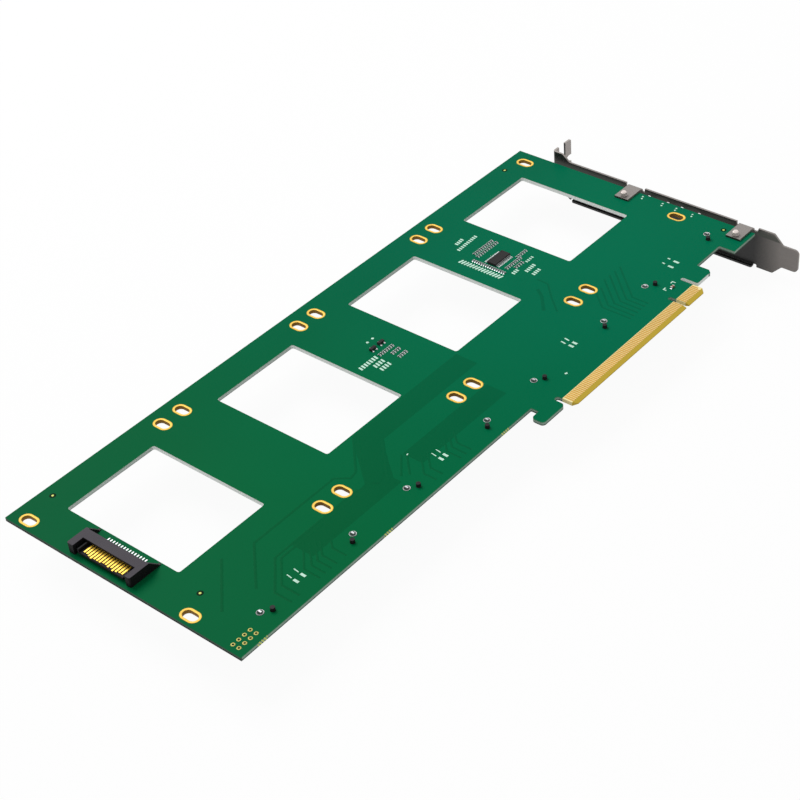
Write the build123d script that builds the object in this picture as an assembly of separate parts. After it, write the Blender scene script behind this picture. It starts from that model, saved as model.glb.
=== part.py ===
# Adapter card for a pcie slot: a long board that carries four 2.5 inch drives flat under it.
# Frame: millimetres, +Z out of the solder side, +X from the board towards its gold contacts,
# +Y towards the mounting bracket. The origin is the key notch's centre line at the contact tip,
# halfway through the board.

import math
import os

from build123d import *

# Board sheet and its outline, measured from the key notch and the contact tip
board_thickness = 1.57
board_main_edge = 11.7
board_height = 110.1
bracket_end = 56.3
far_end = 230.4
routed_corner = 0.4

contact_short_run = 11.65
contact_long_run = 71.65
key_width = 1.9
key_depth = 8.7
tongue_corner = 1.6
bevel_length = 1.6
bevel_angle = 20.0

tab_slot_width = 1.7
tab_width = 10.2
tab_drop = 4.7
tab_chamfer = 1.3
tab_corner = 0.4
end_block_width = 15.4

hook_slot_width = 2.3
hook_slot_depth = 8.1
hook_neck = 8.4
hook_foot = 12.8
hook_foot_top = 8.3
hook_foot_bottom = 3.0
hook_radius = 1.5

# Gold edge contacts
contact_pitch = 1.0
contact_pad_width = 0.7
contact_pad_length = 4.0
contact_key_margin = 0.2
contact_thickness = 0.04
contact_short_count = 11
contact_long_count = 71
short_contact_cut = 1.2

# Four drive bays in a row, each with a window and four slots for the drive's screws
bay_count = 4
bay_pitch = 71.43
first_bay = 18.5
hole_spacing_along = 76.60
hole_spacing_across = 61.72
hole_row_inset = 37.3
slot_width = 3.6
slot_length = 6.2
window_length = 53.7
window_width = 40.1
window_inset = 54.2
window_offset = 0.65
window_radius = 1.0

# Mounting bracket, a single folded sheet
sheet = 0.86
bracket_gap = 2.2
bracket_rise = 1.0
blade_width = 18.42
blade_top_inset = 105.1
bracket_length = 119.2
fold_radius = 0.6
top_tab_length = 11.43
top_jog = 3.0
jog_start = 4.2
jog_length = 3.6
jog_radius = 2.0
screw_slot_width = 4.42
screw_slot_depth = 7.2
screw_slot_offset = 5.0
end_notch_width = 3.4
end_notch_depth = 3.4
end_notch_drop = 8.9
top_tab_radius = 0.8
tongue_width = 10.19
tongue_length = 7.2
tongue_radius = 2.0
shoulder_radius = 1.0
neck_radius = 0.8
relief_place = 4.5
relief_width = 1.4
relief_depth = 1.3
relief_radius = 0.5
lip_depth = 1.5
lip_radius = 0.4
lip_start = 95.5
lip_end = 6.1
lip_corner = 0.8
clip_width = 6.5
clip_reach = 10.6
clip_places = (63.4, 9.9)
light_hole_radius = 1.1

# Screws that hold the bracket's clips to the board
screw_radius = 1.25
screw_clearance = 0.1
screw_thread_clearance = 0.04
screw_from_clip_end = 2.1
screw_end_height = 1.9
screw_end_chamfer = 0.35
screw_head_radius = 2.3
screw_head_height = 1.5
recess_width = 0.7
recess_span = 2.6
recess_depth = 0.9

# Drive receptacles under the board
receptacle_offset = 4.8
receptacle_base_length = 48.6
receptacle_base_depth = 6.8
receptacle_height = 7.0
receptacle_rear_inset = 16.5
receptacle_rear_slope = 1.0
receptacle_corner = 0.6
nose_length = 41.6
nose_height = 5.0
nose_depth = 5.2
mating_drop = 3.9
mating_slot_length = 35.0
mating_slot_height = 1.9
mating_slot_depth = 8.0
horn_width = 2.4
horn_reach = 7.4
horn_taper = 0.9
peg_radius = 0.85
peg_clearance = 0.1
peg_spacing = 37.75
peg_inset = 17.7
peg_rise = 1.4
lock_spacing = 43.95
lock_inset = 20.3
lock_prong_width = 1.2
lock_prong_thick = 0.6
lock_rise = 0.6

# Contacts of one receptacle: a row on each wall of its mating slot. The lower row's strips turn
# up behind the housing to their feet on the board, and the upper row's end in the rear wall.
receptacle_contact_count = 34
receptacle_contact_pitch = 0.98
receptacle_contact_width = 0.4
receptacle_contact_thick = 0.2
receptacle_contact_inset = 0.9
receptacle_leg_gap = 0.15

# Power header at the far end, opening over the board's end edge
header_centre = 76.45
header_length = 29.7
header_height = 4.2
header_depth = 8.6
header_end_inset = 1.3
header_wall = 2.3
header_key_wall = 2.9
header_rear_wall = 1.6
header_roof = 0.9
header_roof_depth = 3.9
header_ear_depth = 3.9
header_ear_width = 1.1
header_ear_step = 0.6
header_corner = 0.7
tongue_top = 2.0
tongue_thick = 0.9
tongue_span = 20.6
tongue_setback = 0.5
tongue_offset = 0.55
key_leg_thick = 0.7
key_leg_rise = 1.1
key_leg_gap = 0.9
key_web_share = 0.5
header_contact_count = 15
header_contact_pitch = 1.27
header_contact_width = 0.72
header_contact_thick = 0.15
header_tail_end = 3.6
header_tail_width = 0.5

# The power contacts mate in three steps, so their strips end at three distances from the
# tongue's front edge: the first contacts to mate, the second, and all the rest
first_to_mate = (4, 12)
second_to_mate = (3, 5, 6, 7, 10, 13)
first_setback = 0.1
second_setback = 0.5
last_setback = 0.9

# Metal tabs that hold the power header to the board
hold_down_width = 1.0
hold_down_length = 0.8
hold_down_thick = 0.3

# Clock chip in a thin gull-wing package with its long side across the bays
chip_place = (-78.3, -15.4)
chip_length = 9.7
chip_width = 4.4
chip_standoff = 0.1
chip_body_height = 1.0
chip_draft = 0.12
chip_lead_count = 14
chip_lead_pitch = 0.65
chip_lead_width = 0.25
chip_lead_thick = 0.13
chip_lead_span = 6.6
chip_foot = 0.7
chip_pin_mark_inset = 0.9
chip_pin_mark_radius = 0.35
chip_pin_mark_depth = 0.08

# Transistors in three-leg packages
transistor_places = ((-80.9, -84.2), (-80.8, -88.8))
transistor_length = 2.9
transistor_width = 1.3
transistor_height = 0.95
transistor_standoff = 0.06
transistor_leg_width = 0.4
transistor_leg_thick = 0.12
transistor_leg_reach = 0.55
transistor_leg_offset = 0.95
transistor_leg_level = 0.44

# Chip resistors and capacitors: length, width and height
small_chip = (1.0, 0.54, 0.38)
large_chip = (1.7, 0.9, 0.7)

# Chips round the clock chip and the transistors: rows given by first place, step and whether the
# chips lie along X, with the number of chips in each row beside them
clock_rows = (
    ((-88.6, -6.6), (0.0, -1.25), True),
    ((-86.4, -6.4), (0.0, -1.35), True),
    ((-73.2, -4.6), (0.0, -1.35), True),
    ((-71.9, -9.9), (0.0, -1.25), True),
    ((-69.3, -12.0), (0.0, -1.4), True),
    ((-86.0, -21.7), (1.1, 0.0), False),
)
clock_row_counts = (10, 10, 5, 8, 4, 15)
control_rows = (
    ((-76.4, -82.9), (0.0, -1.2), True),
    ((-73.2, -82.9), (0.0, -1.25), True),
    ((-69.8, -82.9), (0.0, -1.25), True),
)
control_row_counts = (7, 4, 4)
edge_capacitor_place = (-11.2, 6.6)

# Reservoir capacitors on the component side, one on each side of a receptacle
reservoir_size = (7.3, 4.3, 2.8)
reservoir_inset = 26.5
reservoir_gap = 0.65
reservoir_foot_width = 2.4
reservoir_foot_thick = 0.15
reservoir_foot_reach = 0.3
reservoir_corner = 0.3

# Status lights behind the bracket, on the component side
light_places = (56.4, 47.2, 40.4, 32.1)
light_width = 3.0
light_depth = 1.5
light_height = 1.7
light_setback = 1.1
light_lens_radius = 0.75
light_lens_width = 1.8
light_lens_round = 0.7

# How far tools reach past the faces that they cut, and the share of a slot's width that rounds
# its closed end: just under a half, so that the two corners never meet. Two places count as one
# when they are within the tiny distance.
cut_reach = 1.0
end_round = 0.49
tiny = 0.01

# Levels and lines that several pieces share
top_face = board_thickness / 2
under_face = -board_thickness / 2
blade_face = bracket_end + bracket_gap
blade_back = blade_face + sheet
blade_upper = top_face + bracket_rise
blade_lower = blade_upper - blade_width
blade_middle = (blade_upper + blade_lower) / 2
bays = [first_bay - bay_pitch * i for i in range(bay_count)]
clip_face = top_face + sheet
screw_line = blade_face - clip_reach + screw_from_clip_end
light_level = under_face - light_height / 2
light_lines = [-place for place in light_places]
header_middle = -header_centre
header_front = -far_end + header_end_inset
header_rear = header_front + header_depth
header_low = top_face
header_high = top_face + header_height
slant = math.sqrt(0.5)


def rounded_face(corners):
    """Face inside corners (x, y, radius): each corner with a radius is rounded by a tangent arc."""
    lines = []
    count = len(corners)
    starts, ends = [], []
    for i, (x, y, radius) in enumerate(corners):
        before = Vector(*corners[i - 1][:2])
        after = Vector(*corners[(i + 1) % count][:2])
        here = Vector(x, y)
        to_before = (before - here).normalized()
        to_after = (after - here).normalized()
        half = math.radians(to_before.get_angle(to_after)) / 2
        reach = radius / math.tan(half)
        first = here + to_before * reach
        last = here + to_after * reach
        if radius > 0:
            middle = here + (to_before + to_after).normalized() * (radius / math.sin(half) - radius)
            lines.append(ThreePointArc(first, middle, last))
        starts.append(first)
        ends.append(last)
    for i in range(count):
        gap_start, gap_end = ends[i], starts[(i + 1) % count]
        if (gap_end - gap_start).length > 1e-6:
            lines.append(Line(gap_start, gap_end))
    return make_face(Wire.combine(lines)[0])


def plate(corners, low, high):
    """Rounded outline in the XY plane, extruded from low to high."""
    return Pos(0, 0, low) * extrude(rounded_face(corners), high - low)


def block(x_range, y_range, z_range):
    """Box from three (low, high) ranges."""
    size = [high - low for low, high in (x_range, y_range, z_range)]
    middle = [(high + low) / 2 for low, high in (x_range, y_range, z_range)]
    return Pos(*middle) * Box(*size)


def drum(x, y, radius, low, high):
    """Upright cylinder between two levels."""
    return Pos(x, y, (low + high) / 2) * Cylinder(radius, high - low)


def across(profile, y_low, y_high):
    """Solid whose section (x, z, radius) is the same all along Y."""
    section = Plane.XZ * rounded_face(profile)
    return Pos(0, y_high, 0) * extrude(section, y_high - y_low)


def along(profile, x_low, x_high):
    """Solid whose section (y, z, radius) is the same all along X."""
    section = Plane.YZ * rounded_face(profile)
    return Pos(x_low, 0, 0) * extrude(section, x_high - x_low)


def fuse(solids):
    """One solid from pieces that share faces or volume."""
    solids = list(solids)
    return solids[0].fuse(*solids[1:]).clean() if len(solids) > 1 else solids[0]


def save(name, shapes):
    """Write one node, as one solid or as a group of separate solids."""
    shapes = list(shapes) if isinstance(shapes, (list, tuple)) else [shapes]
    solids = [solid for shape in shapes for solid in shape.solids()]
    export_step(solids[0] if len(solids) == 1 else Compound(children=solids), f"parts/{name}.step")


def drive_slots(bay):
    """Centres of the four slots of one bay."""
    rows = (-hole_row_inset - hole_spacing_along, -hole_row_inset)
    return [(x, bay + side * hole_spacing_across / 2) for x in rows for side in (-1, 1)]


def receptacle_line(bay):
    """Centre line of the receptacle that serves a bay."""
    return bay + receptacle_offset


def lock_section(y):
    """X and Y ranges of a board lock's prong, and of the plated slot that it is soldered in."""
    return ((-lock_inset - lock_prong_width / 2, -lock_inset + lock_prong_width / 2),
            (y - lock_prong_thick / 2, y + lock_prong_thick / 2))


def circuit_board():
    """Laminate with its routed outline, windows, slots, holes and bevelled contact tongue."""
    edge = -board_main_edge
    top = edge - board_height
    short_end = key_width / 2 + contact_short_run
    long_end = -key_width / 2 - contact_long_run
    tab_low = short_end + tab_slot_width
    tab_high = tab_low + tab_width
    block_low = bracket_end - end_block_width
    hook_low = long_end - hook_slot_width
    neck = hook_low - hook_neck
    foot = hook_low - hook_foot
    tab_slot_round = tab_slot_width * end_round
    key_round = key_width * end_round
    hook_slot_round = hook_slot_width * end_round
    outline = plate([
        (top, bracket_end, 0), (-tab_drop, bracket_end, 0), (-tab_drop, block_low, 0),
        (edge, block_low, routed_corner), (edge, tab_high, routed_corner),
        (-tab_drop - tab_chamfer, tab_high, 0), (-tab_drop, tab_high - tab_chamfer, 0),
        (-tab_drop, tab_low + tab_corner, 0), (-tab_drop - tab_corner, tab_low, 0),
        (edge, tab_low, tab_slot_round), (edge, short_end, tab_slot_round),
        (-tongue_corner, short_end, 0), (0, short_end - tongue_corner, 0),
        (0, key_width / 2, 0), (-key_depth, key_width / 2, key_round),
        (-key_depth, -key_width / 2, key_round), (0, -key_width / 2, 0),
        (0, long_end + tongue_corner, 0), (-tongue_corner, long_end, 0),
        (-hook_slot_depth, long_end, hook_slot_round), (-hook_slot_depth, hook_low, hook_slot_round),
        (-hook_foot_bottom, hook_low, hook_radius), (-hook_foot_bottom, foot, hook_radius),
        (-hook_foot_top, foot, hook_radius), (-hook_foot_top, neck, routed_corner),
        (edge, neck, routed_corner), (edge, -far_end, 0), (top, -far_end, 0),
    ], under_face, top_face)

    slope = math.tan(math.radians(bevel_angle))
    for side in (-1, 1):
        face = side * top_face
        outline -= across([(-bevel_length, face, 0), (cut_reach, face, 0),
                           (cut_reach, face - side * (bevel_length + cut_reach) * slope, 0)],
                          long_end - cut_reach, short_end + cut_reach)

    tools = []
    low, high = under_face - cut_reach, top_face + cut_reach
    for bay in bays:
        middle = bay + window_offset
        x_low, x_high = -window_inset - window_length, -window_inset
        y_low, y_high = middle - window_width / 2, middle + window_width / 2
        tools.append(plate([(x, y, window_radius) for x, y in
                            ((x_low, y_low), (x_high, y_low), (x_high, y_high), (x_low, y_high))],
                           low, high))
        tools += [Pos(x, y, low) * extrude(SlotOverall(slot_length, slot_width), high - low)
                  for x, y in drive_slots(bay)]
        line = receptacle_line(bay)
        for side in (-1, 1):
            tools.append(drum(-peg_inset, line + side * peg_spacing / 2,
                              peg_radius + peg_clearance, low, high))
            tools.append(block(*lock_section(line + side * lock_spacing / 2), (low, high)))
    tools += [drum(-place, screw_line, screw_radius + screw_clearance, low, high)
              for place in clip_places]
    return outline.cut(*tools)


def edge_contacts(side):
    """Row of gold pads on one face, side 1 for the solder side and -1 for the component side."""
    face = side * top_face
    margin = key_width / 2 + contact_key_margin + contact_pad_width / 2
    lines = [margin + contact_pitch * i for i in range(contact_short_count)]
    lines += [-margin - contact_pitch * i for i in range(contact_long_count)]
    outermost = lines[contact_short_count - 1]
    pads = []
    for line in lines:
        # The last pad by the bracket tells that the card is seated, so it ends further from the tip.
        tip = -bevel_length - (short_contact_cut if line == outermost and side > 0 else 0)
        pads.append(block((-bevel_length - contact_pad_length, tip),
                          (line - contact_pad_width / 2, line + contact_pad_width / 2),
                          sorted((face, face + side * contact_thickness))))
    return pads


def blade():
    """Flat of the bracket, from its top fold to the tongue's tip."""
    fold = -blade_top_inset
    start = fold + fold_radius
    jog_end = fold + jog_start + jog_length
    tip = fold + bracket_length
    taper = (blade_width - tongue_width) / 2
    wide_end = tip - tongue_length - taper
    neck_low = blade_middle - tongue_width / 2
    neck_high = blade_middle + tongue_width / 2
    relief = (-relief_place - relief_width, -relief_place)
    face = rounded_face([
        (start, blade_lower + top_jog, 0),
        (fold + jog_start, blade_lower + top_jog, jog_radius), (jog_end, blade_lower, jog_radius),
        (relief[0], blade_lower, 0), (relief[0], blade_lower + relief_depth, relief_radius),
        (relief[1], blade_lower + relief_depth, relief_radius), (relief[1], blade_lower, 0),
        (wide_end, blade_lower, shoulder_radius), (wide_end + taper, neck_low, neck_radius),
        (tip, neck_low, tongue_radius), (tip, neck_high, tongue_radius),
        (wide_end + taper, neck_high, neck_radius), (wide_end, blade_upper, shoulder_radius),
        (relief[1], blade_upper, 0), (relief[1], blade_upper - relief_depth, relief_radius),
        (relief[0], blade_upper - relief_depth, relief_radius), (relief[0], blade_upper, 0),
        (jog_end, blade_upper, jog_radius), (fold + jog_start, blade_upper + top_jog, jog_radius),
        (start, blade_upper + top_jog, 0),
    ])
    return Pos(0, blade_back, 0) * extrude(Plane.XZ * face, sheet)


def top_tab():
    """Tab folded outwards at the top, with an open screw slot and a notch in its free end."""
    fold = -blade_top_inset
    inner, outer = fold_radius, fold_radius + sheet
    end = blade_back + top_tab_length
    centre_x, centre_y = fold + inner, blade_back + inner
    low, high = blade_lower + top_jog, blade_upper + top_jog
    section = make_face(Wire.combine([
        Line((centre_x, blade_face), (centre_x, blade_back)),
        ThreePointArc((centre_x, blade_back), (centre_x - inner * slant, centre_y - inner * slant),
                      (fold, centre_y)),
        Line((fold, centre_y), (fold, end)),
        Line((fold, end), (fold - sheet, end)),
        Line((fold - sheet, end), (fold - sheet, centre_y)),
        ThreePointArc((fold - sheet, centre_y), (centre_x - outer * slant, centre_y - outer * slant),
                      (centre_x, blade_face)),
    ])[0])
    tab = Pos(0, 0, low) * extrude(section, high - low)
    x_range = (fold - sheet - cut_reach, fold + cut_reach)
    slot_low = blade_back + screw_slot_offset - screw_slot_width / 2
    slot_high = slot_low + screw_slot_width
    slot_floor = high - screw_slot_depth
    slot_round = screw_slot_width * end_round
    screw_slot = along([(slot_low, high + cut_reach, 0), (slot_low, slot_floor, slot_round),
                        (slot_high, slot_floor, slot_round), (slot_high, high + cut_reach, 0)], *x_range)
    notch_low = high - end_notch_drop - end_notch_width / 2
    notch_high = notch_low + end_notch_width
    notch_floor = end - end_notch_depth
    notch_round = end_notch_width * end_round
    end_notch = along([(end + cut_reach, notch_low, 0), (notch_floor, notch_low, notch_round),
                       (notch_floor, notch_high, notch_round), (end + cut_reach, notch_high, 0)], *x_range)
    tab = tab - screw_slot - end_notch
    corners = [edge for edge in tab.edges().filter_by(Axis.X)
               if abs(edge.center().Y - end) < tiny and min(abs(edge.center().Z - low),
                                                            abs(edge.center().Z - high)) < tiny]
    return fillet(corners, top_tab_radius)


def folded_flange(base, turn, face_end, x_low, x_high, flange_top):
    """Flange bent inwards from the blade: a quarter bend and a flat at one edge of the blade.

    base is the level where the bend starts, turn is 1 for a bend towards +Z, flange_top the far
    face of the flat and face_end the Y of its free end.
    """
    inner = abs(flange_top - base) - sheet
    outer = inner + sheet
    centre_y = blade_face - inner
    near = flange_top - turn * sheet
    section = make_face(Wire.combine([
        Line((blade_back, base), (blade_face, base)),
        ThreePointArc((blade_face, base), (centre_y + inner * slant, base + turn * inner * slant),
                      (centre_y, near)),
        Line((centre_y, near), (face_end, near)),
        Line((face_end, near), (face_end, flange_top)),
        Line((face_end, flange_top), (centre_y, flange_top)),
        ThreePointArc((centre_y, flange_top),
                      (centre_y + outer * slant, base + turn * outer * slant), (blade_back, base)),
    ])[0])
    return Pos(x_low, 0, 0) * extrude(Plane.YZ * section, x_high - x_low)


def mounting_bracket():
    """One folded sheet: blade and tongue, top tab, board clips and stiffening lip."""
    sheet_blade = blade()
    lip_base = blade_lower + sheet + lip_radius
    clip_base = clip_face - sheet - fold_radius

    # Room in the blade for each fold
    through = (blade_face - cut_reach, blade_back + cut_reach)
    notches = [block((-lip_start - relief_width, -lip_end + relief_width / 2), through,
                     (blade_lower - cut_reach, lip_base))]
    for place in clip_places:
        half = clip_width / 2 + relief_width
        notches.append(block((-place - half, -place + half), through,
                             (clip_base, blade_upper + cut_reach)))
    notches += [Pos(x, blade_face + sheet / 2, light_level) * Rot(90, 0, 0)
                * Cylinder(light_hole_radius, sheet + 2 * cut_reach) for x in light_lines]
    sheet_blade = sheet_blade.cut(*notches)

    lip = folded_flange(lip_base, -1, blade_face - lip_depth, -lip_start, -lip_end, blade_lower)
    lip_edges = [edge for edge in lip.edges().filter_by(Axis.Z)
                 if abs(edge.center().Y - (blade_face - lip_depth)) < tiny]
    lip = fillet(lip_edges, lip_corner)

    clips = []
    for place in clip_places:
        clip = folded_flange(clip_base, 1, blade_face - clip_reach, -place - clip_width / 2,
                             -place + clip_width / 2, clip_face)
        clips.append(clip - drum(-place, screw_line, screw_radius + screw_thread_clearance,
                                 top_face - cut_reach, clip_face + cut_reach))
    return fuse([sheet_blade, top_tab(), lip, *clips])


def bracket_screw(x):
    """Pan-head screw put in from the component side; its end stands out of the clip."""
    end = clip_face + screw_end_height
    shank = drum(x, screw_line, screw_radius, under_face, end)
    shank = chamfer(shank.edges().filter_by(GeomType.CIRCLE).group_by(Axis.Z)[-1], screw_end_chamfer)
    head = drum(x, screw_line, screw_head_radius, under_face - screw_head_height, under_face)
    bottom = under_face - screw_head_height
    for turn in (0, 90):
        head -= (Pos(x, screw_line, bottom + recess_depth / 2) * Rot(0, 0, turn)
                 * Box(recess_span, recess_width, recess_depth))
    return fuse([shank, head])


def drive_receptacle(bay):
    """Right-angle drive receptacle: base with a sloped rear edge, nose and its mating slot, horns, pegs."""
    line = receptacle_line(bay)
    rear = -receptacle_rear_inset
    front = rear - receptacle_base_depth
    nose_tip = front - nose_depth
    bottom = under_face - receptacle_height
    mate = under_face - mating_drop
    half = receptacle_base_length / 2
    nose_low, nose_high = mate - nose_height / 2, mate + nose_height / 2
    base = across([(rear, under_face, 0), (front, under_face, 0), (front, bottom, receptacle_corner),
                   (rear - receptacle_rear_slope, bottom, 0), (rear, bottom + receptacle_rear_slope, 0)],
                  line - half, line + half)
    nose = block((nose_tip, front), (line - nose_length / 2, line + nose_length / 2),
                 (nose_low, nose_high))
    horns, pegs = [], []
    for side in (-1, 1):
        inner = line + side * (half - horn_width)
        outer = line + side * half
        tip = front - horn_reach
        horns.append(plate([(front, inner, 0), (tip, inner, 0), (tip, outer - side * horn_taper, 0),
                            (tip + 2 * horn_taper, outer, 0), (front, outer, 0)],
                           nose_low, nose_high))
        pegs.append(drum(-peg_inset, line + side * peg_spacing / 2, peg_radius,
                         under_face, top_face + peg_rise))
    slot_range = (line - mating_slot_length / 2, line + mating_slot_length / 2)
    slot = block((nose_tip - cut_reach, nose_tip + mating_slot_depth), slot_range,
                 (mate - mating_slot_height / 2, mate + mating_slot_height / 2))
    slits = [block((nose_tip, rear + cut_reach), slot_range, contact_levels(side)) for side in (-1, 1)]
    return fuse([base, nose, *horns, *pegs]).cut(slot, *slits)


def contact_levels(side):
    """Lowest and highest level of a contact row: side 1 is the slot's ceiling and -1 its floor."""
    wall = under_face - mating_drop + side * mating_slot_height / 2
    return sorted((wall, wall - side * receptacle_contact_thick))


def receptacle_contacts(bay):
    """Both contact rows of a receptacle, each contact a strip along a wall of the mating slot."""
    line = receptacle_line(bay)
    rear = -receptacle_rear_inset
    tip = rear - receptacle_base_depth - nose_depth + receptacle_contact_inset
    leg_near = rear + receptacle_leg_gap
    leg_far = leg_near + receptacle_contact_thick
    low, high = contact_levels(-1)
    bent = [(tip, low, 0), (leg_far, low, 0), (leg_far, under_face, 0), (leg_near, under_face, 0),
            (leg_near, high, 0), (tip, high, 0)]
    low, high = contact_levels(1)
    straight = [(tip, low, 0), (rear, low, 0), (rear, high, 0), (tip, high, 0)]
    first = line - receptacle_contact_pitch * (receptacle_contact_count - 1) / 2
    strips = []
    for i in range(receptacle_contact_count):
        start = first + receptacle_contact_pitch * i - receptacle_contact_width / 2
        strips += [across(profile, start, start + receptacle_contact_width)
                   for profile in (bent, straight)]
    return strips


def receptacle_locks(bay):
    """Two board locks: prongs through the board, soldered where they come out."""
    line = receptacle_line(bay)
    return [block(*lock_section(line + side * lock_spacing / 2), (under_face, top_face + lock_rise))
            for side in (-1, 1)]


def header_contact_lines():
    """X of each power contact, the first one beside the key leg."""
    first = -header_contact_pitch * (header_contact_count - 1) / 2
    return [header_middle + tongue_offset + first + header_contact_pitch * i
            for i in range(header_contact_count)]


def power_header_housing():
    """Open-topped shroud with a short roof, a contact tongue, a key leg and sloping rear ears."""
    x_low = header_middle - header_length / 2
    x_high = header_middle + header_length / 2
    body = plate([(x_low, header_front, header_corner), (x_high, header_front, header_corner),
                  (x_high, header_rear, 0), (x_low, header_rear, 0)], header_low, header_high)
    ear_end = header_rear + header_ear_depth
    ears = [along([(header_rear, header_low, 0), (ear_end, header_low, 0),
                   (ear_end, header_low + header_ear_step, 0), (header_rear, header_high, 0)],
                  low, low + header_ear_width) for low in (x_low, x_high - header_ear_width)]
    recess = (x_low + header_key_wall, x_high - header_wall)
    inner_rear = header_rear - header_rear_wall
    roof_front = header_rear - header_roof_depth
    mouth = block(recess, (header_front - cut_reach, inner_rear),
                  (header_low - cut_reach, header_high - header_roof))
    open_top = block(recess, (header_front - cut_reach, roof_front),
                     (header_low, header_high + cut_reach))

    tongue_middle = header_middle + tongue_offset
    tongue_low = tongue_middle - tongue_span / 2
    key_low = tongue_low - key_leg_gap
    depth = (header_front + tongue_setback, inner_rear)
    level = header_low + tongue_top
    tongue = block((tongue_low, tongue_low + tongue_span), depth, (level - tongue_thick, level))
    key_leg = block((key_low, key_low + key_leg_thick), depth,
                    (level - tongue_thick, level + key_leg_rise))
    key_web = block((key_low, tongue_low), depth,
                    (level - tongue_thick, level - tongue_thick * key_web_share))
    body = fuse([body, *ears]) - mouth - open_top
    reach = header_contact_pitch * header_contact_count / 2
    slit = block((tongue_middle - reach, tongue_middle + reach),
                 (inner_rear - cut_reach, header_rear + cut_reach),
                 (level, level + header_contact_thick))
    return fuse([body, tongue, key_leg, key_web]) - slit


def power_header_contacts():
    """Strips in three lengths, each along the tongue and on as a narrower tail down to the board."""
    level = header_low + tongue_top
    thick = header_contact_thick
    drop = header_rear + thick
    tail = header_rear + header_tail_end
    strips = []
    for number, x in enumerate(header_contact_lines(), start=1):
        setback = last_setback
        if number in first_to_mate:
            setback = first_setback
        elif number in second_to_mate:
            setback = second_setback
        front = header_front + tongue_setback + setback
        blade_part = block((x - header_contact_width / 2, x + header_contact_width / 2),
                           (front, header_rear), (level, level + thick))
        tail_part = along([(header_rear, header_low, 0), (tail, header_low, 0),
                           (tail, header_low + thick, 0), (drop, header_low + thick, 0),
                           (drop, level + thick, 0), (header_rear, level + thick, 0)],
                          x - header_tail_width / 2, x + header_tail_width / 2)
        strips.append(fuse([blade_part, tail_part]))
    return strips


def power_header_hold_downs():
    """Soldered metal tabs behind the two ears."""
    rear = header_rear + header_ear_depth
    half = header_length / 2 - header_ear_width / 2
    return [block((header_middle + side * half - hold_down_width / 2,
                   header_middle + side * half + hold_down_width / 2),
                  (rear, rear + hold_down_length), (header_low, header_low + hold_down_thick))
            for side in (-1, 1)]


def clock_chip_body():
    """Moulded body with slightly drafted sides and a pin mark."""
    x, y = chip_place
    low = top_face + chip_standoff
    waist = low + chip_body_height / 2
    halves = []
    for level, height in ((low, waist - low), (waist, chip_body_height / 2)):
        wide = Rectangle(chip_width, chip_length)
        narrow = Rectangle(chip_width - 2 * chip_draft, chip_length - 2 * chip_draft)
        first, last = (narrow, wide) if level == low else (wide, narrow)
        halves.append(Pos(x, y, level) * loft([first, Pos(0, 0, height) * last]))
    body = fuse(halves)
    top = low + chip_body_height
    mark = drum(x - chip_width / 2 + chip_pin_mark_inset, y + chip_length / 2 - chip_pin_mark_inset,
                chip_pin_mark_radius, top - chip_pin_mark_depth, top + cut_reach)
    return body - mark


def clock_chip_leads():
    """Gull-wing leads along both long sides."""
    x, y = chip_place
    waist = top_face + chip_standoff + chip_body_height / 2
    thick = chip_lead_thick
    first = y - chip_lead_pitch * (chip_lead_count - 1) / 2
    leads = []
    for side in (-1, 1):
        wall = x + side * chip_width / 2
        end = x + side * chip_lead_span / 2
        knee = end - side * chip_foot
        profile = [(wall, waist - thick / 2, 0), (knee - side * thick, top_face, 0),
                   (end, top_face, 0), (end, top_face + thick, 0), (knee, top_face + thick, 0),
                   (wall, waist + thick / 2, 0)]
        for i in range(chip_lead_count):
            middle = first + chip_lead_pitch * i
            leads.append(across(profile, middle - chip_lead_width / 2, middle + chip_lead_width / 2))
    return leads


def transistor_bodies():
    """Two small moulded blocks."""
    low = top_face + transistor_standoff
    return [block((x - transistor_width / 2, x + transistor_width / 2),
                  (y - transistor_length / 2, y + transistor_length / 2),
                  (low, low + transistor_height)) for x, y in transistor_places]


def transistor_legs():
    """One leg towards the board's top edge and two towards its contacts, per transistor."""
    legs = []
    leg_top = top_face + transistor_leg_level
    for x, y in transistor_places:
        for side, offset in ((-1, 0), (1, -transistor_leg_offset), (1, transistor_leg_offset)):
            wall = x + side * transistor_width / 2
            end = wall + side * transistor_leg_reach
            knee = wall + side * transistor_leg_thick
            profile = [(wall, top_face, 0), (end, top_face, 0),
                       (end, top_face + transistor_leg_thick, 0),
                       (knee, top_face + transistor_leg_thick, 0), (knee, leg_top, 0),
                       (wall, leg_top, 0)]
            legs.append(across(profile, y + offset - transistor_leg_width / 2,
                               y + offset + transistor_leg_width / 2))
    return legs


def row_places(rows, counts):
    """Every (x, y, lies along X) in a list of chip rows."""
    return [(x + dx * i, y + dy * i, flat)
            for ((x, y), (dx, dy), flat), count in zip(rows, counts) for i in range(count)]


def chip_parts(places, size):
    """Chip resistors and capacitors of one size, lying along X or along Y."""
    length, width, height = size
    solids = []
    for x, y, flat in places:
        dx, dy = (length, width) if flat else (width, length)
        solids.append(block((x - dx / 2, x + dx / 2), (y - dy / 2, y + dy / 2),
                            (top_face, top_face + height)))
    return solids


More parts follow.
